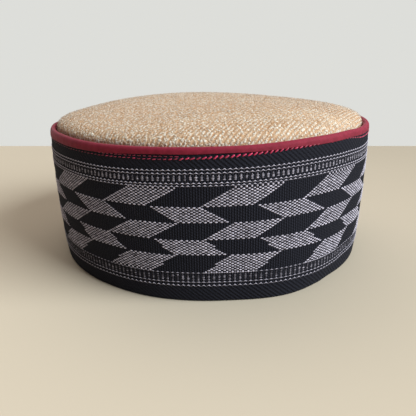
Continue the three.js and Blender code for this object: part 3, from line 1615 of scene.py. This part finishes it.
        def weave(share: np.ndarray, row: np.ndarray) -> np.ndarray:
            """Length round the wall and height, in millimetres."""
            across = share * TURN * self.form.base_radius
            return np.stack([across, np.append(height, height[0])[row]], axis=-1)

        return turned_piece("side_cloth", radius, height, self.steps_around, self.form.point, weave)


# Camera, light and floor

@dataclass(frozen=True)
class PhotoCamera:
    """A camera at the photograph's viewing angle, in metres and degrees."""

    place: tuple[float, float, float] = (0.0, -0.2948, 0.1166)
    down_deg: float = 18.70
    right_deg: float = 0.04
    roll_deg: float = -0.826
    focal_pixels: float = 450.0
    image_pixels: float = 416.0
    sensor: float = 36.0
    nearest: float = 0.01

    def build(self) -> None:
        """Makes the camera and sets it as the scene's."""
        down = math.radians(self.down_deg)
        side = math.radians(self.right_deg)
        roll = math.radians(self.roll_deg)
        ahead = Vector((math.sin(side) * math.cos(down), math.cos(side) * math.cos(down), -math.sin(down)))
        level = Vector((math.cos(side), -math.sin(side), 0))
        over = level.cross(ahead)
        right = math.cos(roll) * level + math.sin(roll) * over
        up = math.cos(roll) * over - math.sin(roll) * level
        data = bpy.data.cameras.new("photo_camera")
        data.sensor_width = self.sensor
        data.lens = self.sensor * self.focal_pixels / self.image_pixels
        data.clip_start = self.nearest
        camera = bpy.data.objects.new("photo_camera", data)
        turn = Matrix((right, up, -ahead)).transposed()
        camera.matrix_world = Matrix.Translation(self.place) @ turn.to_4x4()
        bpy.context.scene.collection.objects.link(camera)
        bpy.context.scene.camera = camera


@dataclass(frozen=True)
class SoftLight:
    """A square soft lamp that faces the cap."""

    name: str
    place: tuple[float, float, float]
    size: float
    watts: float
    colour: Colour
    aim: tuple[float, float, float] = (0.0, 0.0, 0.04)

    def build(self) -> None:
        """Makes the lamp and turns it towards the cap."""
        data = bpy.data.lights.new(self.name, "AREA")
        data.size = self.size
        data.energy = self.watts
        data.color = self.colour
        lamp = bpy.data.objects.new(self.name, data)
        lamp.location = self.place
        lamp.rotation_mode = "QUATERNION"
        beam = Vector(self.aim) - Vector(self.place)
        lamp.rotation_quaternion = beam.to_track_quat("-Z", "Y")
        bpy.context.scene.collection.objects.link(lamp)


@dataclass(frozen=True)
class Glow:
    """A soft glow of the room round one direction: its strength times a power of the cosine to the axis."""

    axis: tuple[float, float, float]
    power: float
    strength: float

    def wire(self, direction: tuple[Wire, Wire, Wire]) -> Wire:
        """The glow's strength in each direction.

        Args:
            direction: The direction's parts along X, Y and Z.

        Returns:
            The strength.
        """
        right, ahead, above = direction
        cosine = right * self.axis[0] + ahead * self.axis[1] + above * self.axis[2]
        return cosine.math("POWER", cosine.math("MAXIMUM", cosine, 0.0), self.power) * self.strength


@dataclass
class Studio:
    """A pale table top, a soft key light from the right, and a pale room that is brighter at the back."""

    table_back: float = 313.4
    table_skew: float = -0.0759
    table_reach: float = 2600.0
    table_thickness: float = 25.0
    floor_colour: Colour = (0.618, 0.523, 0.413)
    room_colour: Colour = (0.725, 0.73, 0.70)
    glow_colour: Colour = (0.76, 0.725, 0.675)
    far_right_shade: float = 0.70
    far_right_axis: tuple[float, float] = (0.85, 0.5)
    far_right_ends: tuple[float, float] = (-0.25, 0.45)
    tone_scale: float = 5.0
    tone_detail: float = 3.0
    tone_share: float = 0.1
    floor_roughness: float = 0.9
    wall_ends: tuple[float, float] = (0.8, 0.88)
    glows: tuple[Glow, ...] = (
        Glow((-0.52, 0.742, 0.423), 4.0, 1.1),
        Glow((0.0, 0.707, 0.707), 3.0, 1.6),
    )
    fill: float = 0.08
    key: SoftLight = SoftLight("key_light", (3.14, -1.46, 2.0), 3.0, 315.0, (0.88, 0.975, 1.0))

    def build(self) -> None:
        """Makes the camera, the lamp, the room and the table, and picks a plain view transform."""
        PhotoCamera().build()
        self.key.build()
        self.room()
        self.table()
        bpy.context.scene.view_settings.view_transform = "Standard"

    def room(self) -> None:
        """A pale wall straight ahead, soft glows from the back and a low fill elsewhere.

        The camera sees the room as pale all round, whichever way it looks.
        """
        world = bpy.data.worlds.new("pale_room")
        world.use_nodes = True
        bpy.context.scene.world = world
        board = NodeBoard(world.node_tree)
        direction = board.add("ShaderNodeTexCoord", {}, {}, "Generated")
        parts = board.split(direction)
        glow = sum(each.wire(parts) for each in self.glows) + self.fill
        seen = board.add("ShaderNodeLightPath", {}, {}, "Is Camera Ray")
        wall = seen.math("MAXIMUM", seen, parts[1].step(*self.wall_ends))
        strength = board.add("ShaderNodeMix", {}, {0: wall, 2: glow, 3: 1.0})
        colour = board.blend(wall, self.glow_colour, self.room_colour)
        light = board.add("ShaderNodeBackground", {}, {"Color": colour, "Strength": strength})
        board.add("ShaderNodeOutputWorld", {}, {"Surface": light})

    def table(self) -> None:
        """A plain pale slab."""
        reach = self.table_reach
        right_back = self.table_back + self.table_skew * reach
        left_back = self.table_back - self.table_skew * reach
        outline = np.array([(-reach, -reach), (reach, -reach), (reach, right_back), (-reach, left_back)])
        levels = np.repeat([-self.table_thickness, 0.0], 4)
        corners = np.column_stack([np.vstack([outline, outline]), levels])
        around = np.arange(4)
        after = (around + 1) % 4
        sides = np.stack([around, after, after + 4, around + 4], axis=-1)
        faces = np.vstack([sides, [[4, 5, 6, 7], [3, 2, 1, 0]]])
        table = make_object("floor", corners, faces, {})
        table.data.polygons.foreach_set("use_smooth", np.zeros(len(faces), dtype=bool))
        table.data.materials.append(cloth_material("pale_floor", self.floor_finish))
        LOG.info("floor: %d faces", len(faces))

    def floor_finish(self, board: NodeBoard) -> dict[str, object]:
        """A matt surface with painted shade that makes it a little darker towards the far right, with the
        faintest change of tone.

        Args:
            board: The board to add nodes to.

        Returns:
            The shader's inputs.
        """
        place = board.place()
        right, ahead, _ = board.split(place)
        rightwards, backwards = self.far_right_axis
        # Painted shade: the floor's colour darkens towards the far right, standing in for light that falls
        # off there
        far_right = (right * rightwards + ahead * backwards).step(*self.far_right_ends)
        mottle = board.noise(place, self.tone_scale, self.tone_detail) * self.tone_share
        tone = 1 - far_right + mottle
        darker = tuple(self.far_right_shade * part for part in self.floor_colour)
        return {
            "Base Color": board.blend(tone, darker, self.floor_colour),
            "Roughness": self.floor_roughness,
            "Specular IOR Level": 0.0,
        }


def main() -> None:
    """Builds the stage and then the cap from the band inwards."""
    logging.basicConfig(level=logging.INFO, format="%(name)s %(message)s")
    form = CapForm()
    Studio().build()
    WovenBand(form).build()
    EdgeBinding(form).build()
    WoolCap(form).build()


if __name__ == "__main__":
    main()
